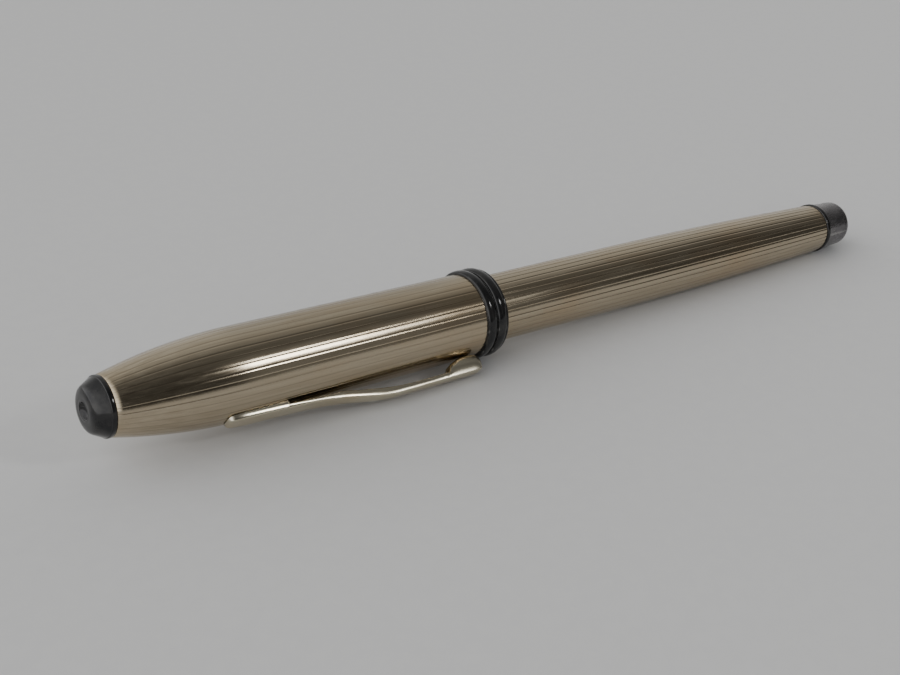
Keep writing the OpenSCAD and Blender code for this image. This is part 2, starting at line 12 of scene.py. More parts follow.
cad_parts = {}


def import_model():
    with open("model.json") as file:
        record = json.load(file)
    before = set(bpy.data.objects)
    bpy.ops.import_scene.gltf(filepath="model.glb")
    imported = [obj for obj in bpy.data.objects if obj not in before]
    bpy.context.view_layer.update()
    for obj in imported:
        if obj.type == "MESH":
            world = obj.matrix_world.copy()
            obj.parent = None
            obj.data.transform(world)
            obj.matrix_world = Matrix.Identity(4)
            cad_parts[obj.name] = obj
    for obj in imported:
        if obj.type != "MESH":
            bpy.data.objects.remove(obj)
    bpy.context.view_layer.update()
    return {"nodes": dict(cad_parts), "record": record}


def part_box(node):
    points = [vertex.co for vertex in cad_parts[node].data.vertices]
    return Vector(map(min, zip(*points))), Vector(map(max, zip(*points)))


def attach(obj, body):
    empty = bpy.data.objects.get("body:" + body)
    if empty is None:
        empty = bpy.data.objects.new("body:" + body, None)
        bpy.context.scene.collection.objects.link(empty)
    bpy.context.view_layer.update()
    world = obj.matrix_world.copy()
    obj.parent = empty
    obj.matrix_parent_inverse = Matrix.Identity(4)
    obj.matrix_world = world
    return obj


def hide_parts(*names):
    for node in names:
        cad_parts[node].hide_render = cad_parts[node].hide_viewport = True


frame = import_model()

MM = 0.001  # metres in a millimetre: shapes below are worked out in millimetres


# ---- Where things are, from the frame ----


def node_box(node):
    """Lowest and highest corner of a CAD node, in millimetres."""
    low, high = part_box(node)
    return low / MM, high / MM


def span_x(*nodes):
    """Lowest and highest station of these CAD nodes along the pen."""
    boxes = [node_box(n) for n in nodes]
    return min(b[0].x for b in boxes), max(b[1].x for b in boxes)


def outer_r(node):
    """Radius of a turned CAD node."""
    low, high = node_box(node)
    return (high.y - low.y) / 2


band_low, band_high = node_box("rear_band")
AXIS_Y = (band_low.y + band_high.y) / 2
AXIS_Z = (band_low.z + band_high.z) / 2
SHELL_X, BAND_X = span_x("cap_shell")
CAP_R = outer_r("cap_shell")
BARREL_X, TAIL_X = span_x("barrel_shell")
BARREL_R = outer_r("barrel_shell")


def on_pen(x, r, angle):
    """The point at station x and radius r, at an angle from +Z towards +Y round the pen's axis, in metres."""
    return Vector((x, AXIS_Y + r * math.sin(angle), AXIS_Z + r * math.cos(angle))) * MM


# ---- Mesh building ----


def make_object(name, vertices, faces, sharp_deg=32.0):
    """A smooth-shaded mesh object with its edges over an angle kept sharp."""
    mesh = bpy.data.meshes.new(name)
    mesh.from_pydata([tuple(v) for v in vertices], [], faces)
    mesh.validate()
    bm = bmesh.new()
    bm.from_mesh(mesh)
    bmesh.ops.recalc_face_normals(bm, faces=bm.faces)
    bm.to_mesh(mesh)
    bm.free()
    mesh.shade_smooth()
    mesh.set_sharp_from_angle(angle=math.radians(sharp_deg))
    obj = bpy.data.objects.new(name, mesh)
    bpy.context.scene.collection.objects.link(obj)
    return obj


def ring_faces(rings, closed):
    """Quads between neighbouring rings of vertex numbers. A ring of one number is a pole."""
    faces = []
    pairs = list(zip(rings, rings[1:] + rings[:1])) if closed else list(zip(rings, rings[1:]))
    for a, b in pairs:
        count = max(len(a), len(b))
        for i in range(count):
            j = (i + 1) % count
            quad = [a[i % len(a)], a[j % len(a)], b[j % len(b)], b[i % len(b)]]
            faces.append(list(dict.fromkeys(quad)))
    return faces


def arc(x, r, radius, start_deg, end_deg, count=6):
    """Points of a rounded corner round (x, r), between two angles: 0 is towards +X and 90 is outwards."""
    return [
        (x + radius * math.cos(math.radians(a)), r + radius * math.sin(math.radians(a)))
        for a in np.linspace(start_deg, end_deg, count)
    ]


def lathe(name, profile, segments=160):
    """A closed turned solid from (station, radius) points in millimetres. Points on the axis become poles."""
    vertices, rings = [], []
    for x, r in profile:
        count = 1 if r < 1e-6 else segments
        rings.append(list(range(len(vertices), len(vertices) + count)))
        vertices += [on_pen(x, r, 2 * math.pi * i / segments) for i in range(count)]
    poles = len(rings[0]) == 1 and len(rings[-1]) == 1
    return make_object(name, vertices, ring_faces(rings, closed=not poles))


FLUTES = 36
FLUTE_SHARE = 0.30  # of the pitch that a groove takes
CAP_FLUTE_DEPTH = 0.022
BARREL_FLUTE_DEPTH = 0.05
FLUTE_PHASE = 0.5
# Places across one pitch where the surface is sampled: the land's middle is 0 and the groove's is 0.5
FLUTE_STEPS = [0, 0.12, 0.24, 0.33, 0.36, 0.39, 0.44, 0.5, 0.56, 0.61, 0.64, 0.67, 0.76, 0.88]


def in_groove(t):
    """How deep in the groove a place t across a pitch is: 0 on the land and 1 at the groove's bottom."""
    return max(0.0, 1 - abs(t - 0.5) / (FLUTE_SHARE / 2))


def fluted_shell(name, outside, inside, flute_depth):
    """A thin turned shell with flutes along its outside. Both profiles are (station, radius) points."""
    angles, depths, grooves = [], [], []
    for k in range(FLUTES):
        for t in FLUTE_STEPS:
            angles.append(2 * math.pi * (k + t + FLUTE_PHASE) / FLUTES)
            groove = in_groove(t)
            depths.append(flute_depth * groove * (1.35 - 0.35 * groove))
            grooves.append(groove)
    full_r = max(r for _, r in outside)
    vertices, rings, tarnish = [], [], []
    for x, r in outside:
        rings.append(list(range(len(vertices), len(vertices) + len(angles))))
        scale = r / full_r
        vertices += [on_pen(x, r - scale * d, a) for a, d in zip(angles, depths)]
        tarnish += grooves
    for x, r in inside:
        rings.append(list(range(len(vertices), len(vertices) + len(angles))))
        vertices += [on_pen(x, r, a) for a in angles]
        tarnish += [0.0] * len(angles)
    obj = make_object(name, vertices, ring_faces(rings, closed=True), sharp_deg=40)
    attribute = obj.data.attributes.new("groove", "FLOAT", "POINT")
    attribute.data.foreach_set("value", np.array(tarnish, np.float32))
    return obj


def smooth_curve(points):
    """A function through (x, y) points, without overshoot between them."""
    xs, ys = np.array(points, float).T
    steps = np.diff(ys) / np.diff(xs)
    slopes = np.zeros(len(xs))
    for i in range(1, len(xs) - 1):
        if steps[i - 1] * steps[i] > 0:
            slopes[i] = 2 * steps[i - 1] * steps[i] / (steps[i - 1] + steps[i])
    slopes[0], slopes[-1] = steps[0], steps[-1]

    def at(x):
        i = int(np.clip(np.searchsorted(xs, x) - 1, 0, len(xs) - 2))
        h = xs[i + 1] - xs[i]
        t = min(max((x - xs[i]) / h, 0), 1)
        a, b = (1 + 2 * t) * (1 - t) ** 2, t * (1 - t) ** 2
        c, d = t * t * (3 - 2 * t), t * t * (t - 1)
        return a * ys[i] + b * h * slopes[i] + c * ys[i + 1] + d * h * slopes[i + 1]

    return at


# ---- Materials ----


class Material:
    """A Principled material whose colour, roughness and bump come from procedural textures."""

    def __init__(self, name, slot, **sockets):
        self.material = bpy.data.materials.new(name)
        self.material.use_nodes = True
        self.slot = slot
        self.tree = self.material.node_tree
        self.shader = self.tree.nodes["Principled BSDF"]
        for socket, value in sockets.items():
            self.shader.inputs[socket.replace("_", " ")].default_value = value
        self.place = self.node("ShaderNodeTexCoord").outputs["Object"]

    def node(self, kind, **settings):
        node = self.tree.nodes.new(kind)
        for key, value in settings.items():
            setattr(node, key, value)
        return node

    def link(self, output, target):
        self.tree.links.new(output, target)

    def noise(self, per_mm, stretch=(1, 1, 1), detail=3.0, roughness=0.55, offset=0.0):
        """Noise with a number of features per millimetre, squeezed along the axes by stretch."""
        mapping = self.node("ShaderNodeMapping")
        mapping.inputs["Location"].default_value = (offset, offset, offset)
        mapping.inputs["Scale"].default_value = [s * per_mm / MM for s in stretch]
        self.link(self.place, mapping.inputs["Vector"])
        noise = self.node("ShaderNodeTexNoise")
        noise.inputs["Scale"].default_value = 1.0
        noise.inputs["Detail"].default_value = detail
        noise.inputs["Roughness"].default_value = roughness
        self.link(mapping.outputs["Vector"], noise.inputs["Vector"])
        return noise.outputs["Fac"]

    def span(self, value, low, high, to_low, to_high):
        """A value from low to high, brought to another range and kept in it."""
        node = self.node("ShaderNodeMapRange")
        for socket, number in zip(("From Min", "From Max", "To Min", "To Max"), (low, high, to_low, to_high)):
            node.inputs[socket].default_value = number
        self.link(value, node.inputs["Value"])
        return node.outputs["Result"]

    def mix(self, factor, a, b):
        """Colour a where the factor is 0 and b where it is 1. Each is a colour or another mix."""
        node = self.node("ShaderNodeMix", data_type="RGBA")
        self.link(factor, node.inputs["Factor"])
        for socket, colour in zip([s for s in node.inputs if s.type == "RGBA"], (a, b)):
            if isinstance(colour, tuple):
                socket.default_value = (*colour, 1)
            else:
                self.link(colour, socket)
        return [s for s in node.outputs if s.type == "RGBA"][0]

    def colour(self, value):
        self.link(value, self.shader.inputs["Base Color"])

    def rough(self, value):
        self.link(value, self.shader.inputs["Roughness"])

    def bump(self, *layers):
        """Bump layers, each a height from 0 to 1 and its depth in millimetres."""
        before = None
        for height, depth in layers:
            node = self.node("ShaderNodeBump")
            node.inputs["Strength"].default_value = 1.0
            node.inputs["Distance"].default_value = depth * MM
            self.link(height, node.inputs["Height"])
            if before is not None:
                self.link(before, node.inputs["Normal"])
            before = node.outputs["Normal"]
        self.link(before, self.shader.inputs["Normal"])

    def worn_edges(self, colour, worn, low=0.52, high=0.62):
        """Colour turned to worn where the surface sticks out."""
        pointiness = self.node("ShaderNodeNewGeometry").outputs["Pointiness"]
        return self.mix(self.span(pointiness, low, high, 0, 0.7), colour, worn)


def champagne_metal():
    """Pale warm metal, polished along its length, with fine scratches and brown tarnish in its grooves."""
    m = Material("champagne", "champagne_metal", Metallic=1.0)
    streaks = m.noise(2.4, (0.03, 1, 1), 4)
    patches = m.noise(0.12, (0.5, 1, 1), 3, offset=3.0)
    specks = m.noise(3.5, (0.4, 1, 1), 2, offset=8.0)
    metal = m.mix(m.span(streaks, 0.35, 0.68, 0, 1), (0.415, 0.35, 0.25), (0.505, 0.435, 0.32))
    metal = m.mix(m.span(patches, 0.48, 0.72, 0, 0.6), metal, (0.44, 0.33, 0.205))
    metal = m.mix(m.span(specks, 0.66, 0.74, 0, 0.35), metal, (0.30, 0.23, 0.16))
    groove = m.node("ShaderNodeAttribute", attribute_name="groove").outputs["Fac"]
    m.colour(m.mix(m.span(groove, 0.3, 1.0, 0, 0.5), metal, (0.22, 0.165, 0.11)))
    m.rough(m.span(streaks, 0.3, 0.7, 0.12, 0.21))
    ripples = m.noise(0.55, (0.55, 1, 1), 2, offset=5.0)
    m.bump((streaks, 0.0012), (ripples, 0.0045))
    return m


def pale_gold():
    """The clip's brighter pale gold, drawn along its length, with small dents and rubbed edges."""
    m = Material("pale_gold", "clip_metal", Metallic=1.0)
    streaks = m.noise(2.0, (0.05, 1, 1), 4)
    patches = m.noise(0.25, (0.6, 1, 1), 3, offset=2.0)
    metal = m.mix(m.span(streaks, 0.35, 0.68, 0, 1), (0.60, 0.545, 0.41), (0.70, 0.645, 0.50))
    metal = m.mix(m.span(patches, 0.5, 0.72, 0, 0.6), metal, (0.56, 0.46, 0.30))
    m.colour(m.worn_edges(metal, (0.88, 0.84, 0.72)))
    m.rough(m.span(streaks, 0.3, 0.7, 0.15, 0.27))
    m.bump((streaks, 0.001), (m.noise(0.8, (0.6, 1, 1), 2, offset=5.0), 0.004))
    return m


def gunmetal():
    """Near-black plated metal, glossy, with bare metal showing faintly on its crests."""
    m = Material("gunmetal", "gunmetal", Metallic=0.5)
    patches = m.noise(0.6, (1, 1, 1), 4)
    specks = m.noise(5.0, (1, 1, 1), 2, offset=4.0)
    metal = m.mix(m.span(patches, 0.38, 0.66, 0, 1), (0.018, 0.018, 0.019), (0.038, 0.037, 0.036))
    metal = m.mix(m.span(specks, 0.68, 0.76, 0, 0.35), metal, (0.13, 0.12, 0.10))
    m.colour(m.worn_edges(metal, (0.16, 0.155, 0.15), 0.54, 0.66))
    m.rough(m.span(patches, 0.3, 0.7, 0.07, 0.16))
    m.bump((m.noise(1.4, (1, 1, 1), 3, offset=7.0), 0.003))
    return m


def tail_grey():
    """Dark grey plated metal of the tail cap, with scuffs round its end."""
    m = Material("tail_grey", "tail_grey", Metallic=0.8)
    patches = m.noise(0.5, (1, 1, 1), 4)
    scuffs = m.noise(3.0, (0.35, 1, 1), 3, offset=6.0)
    metal = m.mix(m.span(patches, 0.38, 0.66, 0, 1), (0.085, 0.08, 0.085), (0.15, 0.14, 0.145))
    metal = m.mix(m.span(scuffs, 0.62, 0.74, 0, 0.5), metal, (0.30, 0.285, 0.28))
    m.colour(m.worn_edges(metal, (0.36, 0.35, 0.34)))
    m.rough(m.span(scuffs, 0.3, 0.7, 0.16, 0.34))
    m.bump((scuffs, 0.0015), (m.noise(0.9, (1, 1, 1), 2, offset=9.0), 0.003))
    return m


def plastic(name, slot, dark, light, low_rough, high_rough):
    """Moulded plastic with faint flow marks, dust-fine scratches and paler rubbed edges."""
    m = Material(name, slot, IOR=1.5)
    flow = m.noise(0.35, (0.6, 1, 1), 4)
    scratches = m.noise(4.0, (0.2, 1, 1), 3, offset=5.0)
    colour = m.mix(m.span(flow, 0.36, 0.66, 0, 1), dark, light)
    m.colour(m.worn_edges(colour, tuple(min(1.0, 2.4 * c + 0.02) for c in light)))
    m.rough(m.span(scratches, 0.35, 0.7, low_rough, high_rough))
    m.bump((scratches, 0.001), (flow, 0.006))
    return m


def turned_metal(name, slot, dark, light, low_rough, high_rough):
    """Bare metal turned on a lathe: fine rings round the axis, dulled in patches and bright on its edges."""
    m = Material(name, slot, Metallic=1.0)
    rings = m.noise(9.0, (1, 0.02, 0.02), 3)
    patches = m.noise(0.4, (1, 1, 1), 4, offset=2.0)
    metal = m.mix(m.span(patches, 0.36, 0.68, 0, 1), light, dark)
    m.colour(m.worn_edges(metal, tuple(min(1.0, 1.2 * c) for c in light)))
    m.rough(m.span(patches, 0.3, 0.7, low_rough, high_rough))
    m.bump((rings, 0.0022), (patches, 0.003))
    return m


def clear_plastic():
    """Clear moulded plastic of the ink chamber, with faint haze and hairline scratches."""
    m = Material("clear_plastic", "clear_plastic", IOR=1.49, Transmission_Weight=1.0)
    haze = m.noise(0.5, (0.4, 1, 1), 4)
    m.colour(m.mix(m.span(haze, 0.4, 0.7, 0, 1), (0.97, 0.98, 0.98), (0.88, 0.91, 0.92)))
    scratches = m.noise(5.0, (0.15, 1, 1), 3, offset=5.0)
    m.rough(m.span(scratches, 0.45, 0.75, 0.03, 0.16))
    m.bump((scratches, 0.0008))
    return m


FINISHES = {
    m.slot: m
    for m in (
        champagne_metal(),
        pale_gold(),
        gunmetal(),
        tail_grey(),
        plastic("black_plastic", "black_plastic", (0.010, 0.010, 0.011), (0.020, 0.019, 0.019), 0.14, 0.30),
        plastic("feed_plastic", "feed_plastic", (0.016, 0.016, 0.018), (0.032, 0.031, 0.032), 0.34, 0.52),
        plastic("seal_rubber", "seal_rubber", (0.022, 0.021, 0.021), (0.045, 0.043, 0.042), 0.55, 0.75),
        turned_metal("plain_brass", "plain_brass", (0.46, 0.30, 0.12), (0.72, 0.54, 0.27), 0.18, 0.34),
        turned_metal("steel", "steel", (0.40, 0.39, 0.38), (0.66, 0.66, 0.65), 0.16, 0.32),
        turned_metal("nib_gold", "nib_gold", (0.72, 0.50, 0.20), (0.90, 0.70, 0.36), 0.10, 0.20),
        clear_plastic(),
    )
}


def finish(obj, slot):
    """Puts a slot's finish on a piece."""
    obj.data.materials.clear()
    obj.data.materials.append(FINISHES[slot].material)
    return obj


def stand_for(obj, node, body, slot):
    """obj replaces a CAD node, rides on its body and takes its slot's finish."""
    finish(obj, slot)
    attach(obj, body)
    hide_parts(node)


# ---- Cap and barrel ----

WALL = 0.42
FRONT_WALL = 1.2  # thickness of the cap's closed end
STUD_R = 1.5  # the finial's stud, which goes through that end
STUD_GAP = 0.03
CROWN_X = SHELL_X + 19.2  # where the cap's nose meets its straight taper
NOSE_R = 4.24
MOUTH_R = 6.38
CLIP_DEG = 51.3  # how far round from straight down the clip sits, towards the front


def arc_drop(d, run, rise):
    """How far a circular arc has dropped after d, if it drops by rise over run."""
    radius = (run * run + rise * rise) / (2 * rise)
    return radius - math.sqrt(radius * radius - d * d)


def cap_outer(x):
    if x < CROWN_X:
        return CAP_R - arc_drop(CROWN_X - x, CROWN_X - SHELL_X, CAP_R - NOSE_R)
    return CAP_R + (MOUTH_R - CAP_R) * (x - CROWN_X) / (BAND_X - CROWN_X)


STRAIGHT_END_X = BARREL_X + 28.8
TAIL_R = 4.2


def barrel_outer(x):
    if x < STRAIGHT_END_X:
        return BARREL_R
    return BARREL_R - arc_drop(x - STRAIGHT_END_X, TAIL_X - STRAIGHT_END_X, BARREL_R - TAIL_R)


def shell_profiles(outer, start, bend, end, hole_r):
    """Outside and inside of a shell with softened rims; hole_r closes the start to that radius."""
    rim = 0.06
    stations = [start + rim, *np.linspace(start + rim, bend, 26)[1:], *np.linspace(bend, end - rim, 14)[1:]]
    outside = [(start, outer(start) - rim)] + [(x, outer(x)) for x in stations] + [(end, outer(end) - rim)]
    first = start + (FRONT_WALL if hole_r else 0)
    inside = [(x, outer(x) - WALL) for x in np.linspace(end, first, 24)]
    if hole_r:
        inside += [(first, hole_r), (start, hole_r)]
    return outside, inside


CLIP_TURN = Matrix.Rotation(math.radians(180 - CLIP_DEG), 4, "X")
BOX_FACES = [(0, 1, 3, 2), (4, 6, 7, 5), (0, 4, 5, 1), (2, 3, 7, 6), (0, 2, 6, 4), (1, 5, 7, 3)]


def on_clip(x, y, z):
    """The point at station x, y across the clip and z above the pen's axis through the clip, in metres."""
    return (CLIP_TURN @ Vector((x, y, z)) + Vector((0, AXIS_Y, AXIS_Z))) * MM


def box_corners(low, high):
    """Corners of a box given along the clip: station, across, and height above the pen's axis."""
    return [on_clip(x, y, z) for x in (low[0], high[0]) for y in (low[1], high[1]) for z in (low[2], high[2])]


CLIP_ROOT_X = span_x("clip")[0]
CLIP_PLATE_END_X = CLIP_ROOT_X + 9.05
TANG_X, TANG_LEN, TANG_HALF = CLIP_ROOT_X + 4.6, 2.6, 0.8


def cut(obj, cutter):
    """Cuts the cutter out of obj and removes it."""
    modifier = obj.modifiers.new("cut", "BOOLEAN")
    modifier.operation, modifier.object = "DIFFERENCE", cutter
    bpy.context.view_layer.update()
    whole = obj.evaluated_get(bpy.context.evaluated_depsgraph_get())
    mesh = bpy.data.meshes.new_from_object(whole)
    obj.modifiers.clear()
    obj.data = mesh
    bpy.data.objects.remove(cutter)


cap_profiles = shell_profiles(cap_outer, SHELL_X, CROWN_X, BAND_X, STUD_R + STUD_GAP)
cap = fluted_shell("fluted_cap", *cap_profiles, CAP_FLUTE_DEPTH)
SLOT_GAP, SLOT_SIDE_GAP = 0.35, 0.2  # round the tang, lengthwise and across
slot_low = (TANG_X - SLOT_GAP, -TANG_HALF - SLOT_SIDE_GAP, 5.6)
slot_high = (TANG_X + TANG_LEN + 2 * SLOT_GAP, TANG_HALF + SLOT_SIDE_GAP, 7.0)
cut(cap, make_object("tang_slot", box_corners(slot_low, slot_high), BOX_FACES))
stand_for(cap, "cap_shell", "cap", "champagne_metal")
barrel = fluted_shell("fluted_barrel", *shell_profiles(barrel_outer, BARREL_X, STRAIGHT_END_X, TAIL_X, None),
                      BARREL_FLUTE_DEPTH)
stand_for(barrel, "barrel_shell", "barrel", "champagne_metal")


# ---- Trims ----

SCREW_HOLE_R = 0.75
finial_x, finial_end_x = span_x("cap_finial")
ring_x, ring_end_x = span_x("finial_ring")
ring_r = outer_r("finial_ring")

hole_end_x = ring_x + 0.6
finial_profile = [
    (finial_x + 0.72, 0), (finial_x + 0.7, 0.55), (finial_x + 0.6, 0.85), (finial_x + 0.4, 1.03),
    (finial_x + 0.17, 1.16), *arc(finial_x + 0.22, 1.37, 0.2, 215, 150, 4), (finial_x + 0.015, 1.75),
    (finial_x + 0.03, 2.15), (finial_x + 0.07, 2.45), (finial_x + 0.14, 2.7), (finial_x + 0.24, 2.92),
    (finial_x + 0.37, 3.1), (finial_x + 0.53, 3.25), (finial_x + 0.72, 3.38), (finial_x + 0.95, 3.5),
    (ring_x - 0.1, 4.08), (ring_x, 4.12), (ring_x, STUD_R),
    (finial_end_x, STUD_R), (finial_end_x, SCREW_HOLE_R), (hole_end_x, SCREW_HOLE_R), (hole_end_x, 0),
]
stand_for(lathe("finial", finial_profile), "cap_finial", "cap", "gunmetal")


def trim_ring(name, x0, x1, r, bore_r, edge):
    """A thin ring with rounded outer edges."""
    profile = [
        (x0, bore_r),
        *arc(x0 + edge, r - edge, edge, 180, 90, 5),
        *arc(x1 - edge, r - edge, edge, 90, 0, 5),
        (x1, bore_r),
    ]
    return lathe(name, profile)


stand_for(trim_ring("finial_collar", ring_x, ring_end_x, ring_r, STUD_R + STUD_GAP, 0.2),
          "finial_ring", "cap", "gunmetal")

SEAT_R = 6.3
LIP_LEN = 0.4


def bead(name, node):
    """A rounded band: a half-round crown between two narrow flanks."""
    x0, x1 = span_x(node)
    top_r, edge_r = outer_r(node), 6.46
    top_r -= 0.005  # the frame's facets lie a little inside their circle
    mid, half = (x0 + x1) / 2, (x1 - x0) / 2
    crown = [
        (mid + (half - 0.03) * math.sin(a), edge_r + (top_r - edge_r) * math.cos(a) ** 0.8)
        for a in np.linspace(-math.pi / 2, math.pi / 2, 25)
    ]
    profile = [(x0, SEAT_R + 0.03), (x0, edge_r - 0.03), *crown, (x1, edge_r - 0.03), (x1, SEAT_R + 0.03)]
    return lathe(name, profile, segments=200)


stand_for(bead("front_bead", "front_band"), "front_band", "cap", "gunmetal")
stand_for(bead("rear_bead", "rear_band"), "rear_band", "cap", "gunmetal")

sleeve_x, mouth_x = span_x("mouth_sleeve")
lip_x, lip_r, bore_r = mouth_x - LIP_LEN, outer_r("mouth_sleeve"), 5.36
glued_r = MOUTH_R - WALL - 0.03
sleeve_profile = [
    (sleeve_x, bore_r), (sleeve_x, glued_r), (BAND_X, glued_r), (BAND_X, SEAT_R), (lip_x, SEAT_R),
    *arc(lip_x + 0.12, lip_r - 0.12, 0.12, 180, 90, 4), *arc(mouth_x - 0.16, lip_r - 0.16, 0.16, 90, 0, 5),
    *arc(mouth_x - 0.15, bore_r + 0.15, 0.15, 0, -90, 5),
]
stand_for(lathe("mouth_lip", sleeve_profile), "mouth_sleeve", "cap", "gunmetal")

TAIL_BORE_R = 1.23
TAIL_BORE_LEN = 4.1
tail_ring_x, tail_ring_end_x = span_x("tail_ring")
stand_for(trim_ring("tail_collar", tail_ring_x, tail_ring_end_x, outer_r("tail_ring"), TAIL_BORE_R, 0.22),
          "tail_ring", "barrel", "gunmetal")

tail_cap_x, pen_end_x = span_x("tail_cap")
tail_cap_r = outer_r("tail_cap")
tail_profile = [
    (tail_cap_x, TAIL_BORE_R), (tail_cap_x, tail_cap_r - 0.08), (tail_cap_x + 0.08, tail_cap_r),
    *arc(pen_end_x - 1.25, tail_cap_r - 0.22 - 1.25, 1.25, 86, 0, 12), (pen_end_x, 1.1), (pen_end_x, 0),
    (tail_cap_x + TAIL_BORE_LEN, 0), (tail_cap_x + TAIL_BORE_LEN, TAIL_BORE_R),
]


def lathe_from_bore(name, profile):
    """A turned solid whose profile touches the axis in two neighbouring points in the middle."""
    cut_at = next(i for i, (_, r) in enumerate(profile) if r == 0)
    return lathe(name, profile[cut_at + 1:] + profile[:cut_at + 1])


stand_for(lathe_from_bore("tail_plug", tail_profile), "tail_cap", "barrel", "tail_grey")


# ---- Clip ----


def along_clip(*points):
    """A smooth curve from (distance from the clip's root, value) points."""
    return smooth_curve([(CLIP_ROOT_X + dx, value) for dx, value in points])


# Heights above the pen's axis, and half the width
clip_top = along_clip(
    (0, 6.62), (0.25, 6.98), (0.8, 7.15), (8.95, 7.42), (13.95, 7.64), (17.95, 8.08), (21.65, 8.75),
    (24.45, 9.22), (26.85, 9.4), (30.05, 9.4), (34.05, 9.37), (38.4, 9.33), (41.7, 9.29), (42.15, 9.13),
    (42.4, 8.7))
clip_under = along_clip(
    (9.07, 6.6), (9.35, 6.78), (17.95, 7.0), (21.65, 7.6), (24.65, 8.0), (27.45, 8.3), (30.65, 8.4),
    (34.4, 8.4), (36.0, 8.33), (36.4, 8.05), (36.8, 7.45), (37.8, 6.95), (39.4, 6.53), (41.0, 6.5),
    (41.9, 6.78), (42.4, 7.5))
clip_half = along_clip(
    (0, 0.85), (0.12, 1.15), (0.35, 1.4), (1.2, 1.64), (2.4, 1.74), (9.05, 1.69), (15.95, 1.45),
    (21.95, 1.24), (26.85, 1.04), (33.95, 1.04), (37.8, 1.12), (40.9, 1.14), (42.0, 1.08), (42.4, 0.85))
PLATE_FLARE = 0.22  # how much wider the root is where it meets the cap than at its outer face
ARM_FLARE = 0.1  # the same for the arm, between its under side and its outer face
CLIP_CROWN = 0.1  # how far the outer face's edges lie below its middle line
CLIP_GAP = 0.05  # left between the clip and the cap


def clip_section(x):
    """Outline of the clip across its length: (across, height) points, the outer face first."""
    half, top = clip_half(x), clip_top(x)
    hugging = x <= CLIP_PLATE_END_X
    pad = x > CLIP_ROOT_X + 36.0
    cap_r = cap_outer(x) + CLIP_GAP
    under = cap_r if hugging else max(clip_under(x), 0)
    face_half = half - np.interp(x, (CLIP_PLATE_END_X - 2, CLIP_PLATE_END_X + 4), (PLATE_FLARE, ARM_FLARE))
    round_top = min(0.2, 0.45 * face_half)
    round_under = 0.06 if hugging else (min(0.75, 0.6 * half) if pad else 0.2)

    def height(y):
        return top - CLIP_CROWN * (y / half) ** 2

    def floor_at(y):
        return math.sqrt(cap_r**2 - y**2) if hugging or pad and under < cap_r else -99

    points = []
    corner_y = face_half - round_top
    corner_z = height(corner_y) - round_top
    for y in np.linspace(-corner_y, corner_y, 9):
        points.append((y, height(y)))
    for a in np.radians([62, 36, 12]):
        points.append((corner_y + round_top * math.cos(a), corner_z + round_top * math.sin(a)))
    low_y = half - round_under
    low_z = (floor_at(low_y) if hugging else under) + round_under
    low_z = min(low_z, corner_z - 0.02)
    for a in np.radians([-12, -36, -62]):
        points.append((low_y + round_under * math.cos(a), low_z + round_under * math.sin(a)))
    for y in np.linspace(low_y, -low_y, 9):
        points.append((y, floor_at(y) if hugging else under))
    for a in np.radians([-118, -144, -168]):
        points.append((-low_y + round_under * math.cos(a), low_z + round_under * math.sin(a)))
    for a in np.radians([168, 144, 118]):
        points.append((-corner_y + round_top * math.cos(a), corner_z + round_top * math.sin(a)))
    return [(y, max(z, floor_at(y))) for y, z in points]


def clip_piece():
    """The clip swept through its sections, with its tang."""
    root = (0, 0.08, 0.2, 0.35, 0.55, 0.8, 1.2, 1.8, 2.4)
    plate, plate_end = np.linspace(3.2, 8.8, 12), (9.05, 9.07, 9.2, 9.35)
    arm = np.linspace(10.2, 34.9, 46)
    pad = (35.6, 36.0, 36.15, 36.25, 36.4, 36.55, 36.7, 36.9, 37.2, 37.5, 38.0, 38.5, 39.0, 39.6, 40.2,
           40.8, 41.2, 41.5, 41.75, 41.95, 42.1, 42.22, 42.32, 42.4)
    stations = [CLIP_ROOT_X + dx for dx in (*root, *plate, *plate_end, *arm, *pad)]
    vertices, rings = [], []
    for x in stations:
        section = clip_section(x)
        rings.append(list(range(len(vertices), len(vertices) + len(section))))
        vertices += [on_clip(x, y, z) for y, z in section]
    faces = ring_faces(rings, closed=False) + [rings[0][::-1], rings[-1]]
    tang_low, tang_high = (TANG_X, -TANG_HALF, 5.77), (TANG_X + TANG_LEN, TANG_HALF, 7.0)
    first = len(vertices)
    vertices += box_corners(tang_low, tang_high)
    faces += [tuple(first + i for i in face) for face in BOX_FACES]
    return make_object("pocket_clip", vertices, faces, sharp_deg=62)


clip = clip_piece()
stand_for(clip, "clip", "clip", "clip_metal")


# ---- The rest of the CAD nodes take their finishes ----

shown_by = {m["node"]: m["material_slot"] for m in frame["record"]["subparts"]}
for node, obj in frame["nodes"].items():
    if not obj.hide_render:
        finish(obj, shown_by[node])


# ---- Floor, light and camera ----


def touching_floor():
    """A point under the bands, and the slope of the plane that also touches the tail ring."""
    bands = Vector((sum(span_x("rear_band")) / 2, AXIS_Z - outer_r("rear_band")))
    tail = Vector(((tail_ring_x + tail_ring_end_x) / 2, AXIS_Z - outer_r("tail_ring")))
    return bands, math.atan2(tail.y - bands.y, tail.x - bands.x)


def floor():
    """A wide pale floor, tilted as the pen lies on it."""
    bands, slope = touching_floor()
    bpy.ops.mesh.primitive_plane_add(size=8.0, location=(bands.x * MM, 0, bands.y * MM - 0.00002))
    plane = bpy.context.object
    plane.name = "floor"
    plane.rotation_euler = (0, -slope, 0)
    m = Material("floor_paper", None, IOR=1.4)
    grain = m.noise(0.4, (1, 1, 1), 3)
    m.colour(m.mix(m.span(grain, 0.35, 0.65, 0, 1), (0.685, 0.685, 0.685), (0.70, 0.70, 0.698)))
    m.rough(m.span(grain, 0.3, 0.7, 0.6, 0.7))
    plane.data.materials.append(m.material)


floor()


PAST_CAP = 1.9  # how bright the room is past the cap's end


